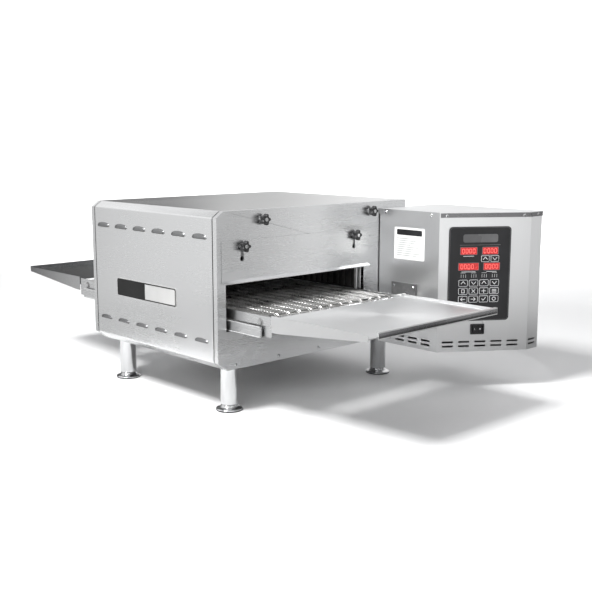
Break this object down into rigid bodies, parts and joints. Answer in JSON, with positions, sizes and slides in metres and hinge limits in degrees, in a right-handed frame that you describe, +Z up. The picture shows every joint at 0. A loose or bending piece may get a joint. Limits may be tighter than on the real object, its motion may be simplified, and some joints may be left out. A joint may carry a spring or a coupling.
{
  "type": "countertop conveyor oven",
  "caption": "Stainless countertop conveyor oven with a wire belt through its tunnel, end trays, shutters, legs and an angled control head.",
  "frame": {"origin": "on the counter under the middle of the whole oven", "axes": "+X along the belt towards the exit tray, +Y across towards the control head, +Z up"},
  "size_m": [1.33, 0.767, 0.457],
  "materials": {
    "brushed_steel": "long-grain brushed stainless sheet",
    "polished_steel": "bright polished stainless",
    "dark_steel": "heat-darkened sheet and castings",
    "belt_wire": "drawn stainless wire",
    "black_plastic": "moulded phenolic",
    "membrane_film": "printed polyester film",
    "insulation_wool": "mineral wool",
    "white_plastic": "machined acetal",
    "circuit_board": "solder mask"
  },
  "bodies": {
    "root": {"side_cover_near": "brushed_steel", "top_cover": "brushed_steel", "base_pan": "dark_steel", "side_cover_far": "brushed_steel", "exit_end_panel": "brushed_steel", "entry_end_panel": "brushed_steel", "chamber_floor": "dark_steel", "chamber_roof": "dark_steel", "chamber_wall_near": "dark_steel", "chamber_wall_far": "dark_steel", "insulation_top": "insulation_wool", "insulation_bottom": "insulation_wool", "upper_air_duct": "dark_steel", "lower_air_duct": "dark_steel", "upper_heater": "dark_steel", "lower_heater": "dark_steel", "blower_motor": "dark_steel", "conveyor_frame": "brushed_steel", "wire_belt": "belt_wire", "drive_bush_near": "white_plastic", "drive_bush_far": "white_plastic", "idler_bush_near": "white_plastic", "idler_bush_far": "white_plastic", "leg_exit_near": "polished_steel", "leg_exit_far": "polished_steel", "leg_entry_near": "polished_steel", "leg_entry_far": "polished_steel", "membrane_panel": "membrane_film", "switch_bezel": "black_plastic", "control_board": "circuit_board", "control_case": "brushed_steel", "control_lid": "brushed_steel", "shaft_bracket": "brushed_steel", "gear_motor": "dark_steel", "cooling_fan_frame": "black_plastic", "cord_gland": "black_plastic"},
    "exit_shutter": {"exit_shutter": "brushed_steel"},
    "exit_shutter_knob_1": {"exit_shutter_knob_1": "black_plastic"},
    "exit_shutter_knob_2": {"exit_shutter_knob_2": "black_plastic"},
    "exit_panel_knob_1": {"exit_panel_knob_1": "black_plastic"},
    "exit_panel_knob_2": {"exit_panel_knob_2": "black_plastic"},
    "exit_tray": {"exit_tray": "polished_steel"},
    "exit_crumb_tray": {"exit_crumb_tray": "brushed_steel"},
    "entry_shutter": {"entry_shutter": "brushed_steel"},
    "entry_shutter_knob_1": {"entry_shutter_knob_1": "black_plastic"},
    "entry_shutter_knob_2": {"entry_shutter_knob_2": "black_plastic"},
    "entry_panel_knob_1": {"entry_panel_knob_1": "black_plastic"},
    "entry_panel_knob_2": {"entry_panel_knob_2": "black_plastic"},
    "entry_tray": {"entry_tray": "brushed_steel"},
    "entry_crumb_tray": {"entry_crumb_tray": "brushed_steel"},
    "drive": {"drive_shaft": "polished_steel", "shaft_coupling": "white_plastic"},
    "idler": {"idler_shaft": "polished_steel"},
    "blower": {"blower_wheel": "dark_steel"},
    "cooling_fan": {"cooling_fan_rotor": "black_plastic"},
    "rocker": {"rocker": "black_plastic"},
    "foot_exit_near": {"foot_exit_near": "polished_steel"},
    "foot_exit_far": {"foot_exit_far": "polished_steel"},
    "foot_entry_near": {"foot_entry_near": "polished_steel"},
    "foot_entry_far": {"foot_entry_far": "polished_steel"}
  },
  "joints": [
    {"name": "exit_shutter_lift", "type": "slide", "parent": "root", "child": "exit_shutter", "axis": [0, 0, 1], "range_m": [0, 0.026]},
    {"name": "exit_shutter_knob_1_turn", "type": "hinge", "parent": "root", "child": "exit_shutter_knob_1", "pos_m": [0.27, -0.3085, 0.378], "axis": [1, 0, 0], "continuous": true},
    {"name": "exit_shutter_knob_2_turn", "type": "hinge", "parent": "root", "child": "exit_shutter_knob_2", "pos_m": [0.27, 0.0515, 0.378], "axis": [1, 0, 0], "continuous": true},
    {"name": "exit_panel_knob_1_turn", "type": "hinge", "parent": "root", "child": "exit_panel_knob_1", "pos_m": [0.27, -0.2495, 0.434], "axis": [1, 0, 0], "continuous": true},
    {"name": "exit_panel_knob_2_turn", "type": "hinge", "parent": "root", "child": "exit_panel_knob_2", "pos_m": [0.27, 0.1105, 0.434], "axis": [1, 0, 0], "continuous": true},
    {"name": "exit_tray_lift_off", "type": "slide", "parent": "root", "child": "exit_tray", "axis": [0, 0, 1], "range_m": [0, 0.04]},
    {"name": "exit_crumb_tray_pull", "type": "slide", "parent": "root", "child": "exit_crumb_tray", "axis": [1, 0, 0], "range_m": [0, 0.3]},
    {"name": "entry_shutter_lift", "type": "slide", "parent": "root", "child": "entry_shutter", "axis": [0, 0, 1], "range_m": [0, 0.026]},
    {"name": "entry_shutter_knob_1_turn", "type": "hinge", "parent": "root", "child": "entry_shutter_knob_1", "pos_m": [-0.27, -0.3085, 0.378], "axis": [-1, 0, 0], "continuous": true},
    {"name": "entry_shutter_knob_2_turn", "type": "hinge", "parent": "root", "child": "entry_shutter_knob_2", "pos_m": [-0.27, 0.0515, 0.378], "axis": [-1, 0, 0], "continuous": true},
    {"name": "entry_panel_knob_1_turn", "type": "hinge", "parent": "root", "child": "entry_panel_knob_1", "pos_m": [-0.27, -0.2495, 0.434], "axis": [-1, 0, 0], "continuous": true},
    {"name": "entry_panel_knob_2_turn", "type": "hinge", "parent": "root", "child": "entry_panel_knob_2", "pos_m": [-0.27, 0.1105, 0.434], "axis": [-1, 0, 0], "continuous": true},
    {"name": "entry_tray_lift_off", "type": "slide", "parent": "root", "child": "entry_tray", "axis": [0, 0, 1], "range_m": [0, 0.04]},
    {"name": "entry_crumb_tray_pull", "type": "slide", "parent": "root", "child": "entry_crumb_tray", "axis": [-1, 0, 0], "range_m": [0, 0.3]},
    {"name": "drive_shaft_turn", "type": "hinge", "parent": "root", "child": "drive", "pos_m": [0.352, 0, 0.225], "axis": [0, 1, 0], "continuous": true},
    {"name": "idler_shaft_turn", "type": "hinge", "parent": "root", "child": "idler", "pos_m": [-0.352, 0, 0.225], "axis": [0, 1, 0], "continuous": true},
    {"name": "blower_turn", "type": "hinge", "parent": "root", "child": "blower", "pos_m": [0, 0.1215, 0.25], "axis": [0, 1, 0], "continuous": true},
    {"name": "cooling_fan_turn", "type": "hinge", "parent": "root", "child": "cooling_fan", "pos_m": [0.374, 0.3615, 0.3], "axis": [0, 1, 0], "continuous": true},
    {"name": "power_rocker", "type": "hinge", "parent": "root", "child": "rocker", "pos_m": [0.50344, 0.2305, 0.153], "axis": [0, 0, 1], "range_deg": [-14, 0]},
    {"name": "foot_exit_near_level", "type": "slide", "parent": "root", "child": "foot_exit_near", "axis": [0, 0, -1], "range_m": [0, 0.02]},
    {"name": "foot_exit_far_level", "type": "slide", "parent": "root", "child": "foot_exit_far", "axis": [0, 0, -1], "range_m": [0, 0.02]},
    {"name": "foot_entry_near_level", "type": "slide", "parent": "root", "child": "foot_entry_near", "axis": [0, 0, -1], "range_m": [0, 0.02]},
    {"name": "foot_entry_far_level", "type": "slide", "parent": "root", "child": "foot_entry_far", "axis": [0, 0, -1], "range_m": [0, 0.02]}
  ],
  "couplings": [
    {"joint": "idler_shaft_turn", "follows": "drive_shaft_turn", "ratio": 1}
  ]
}
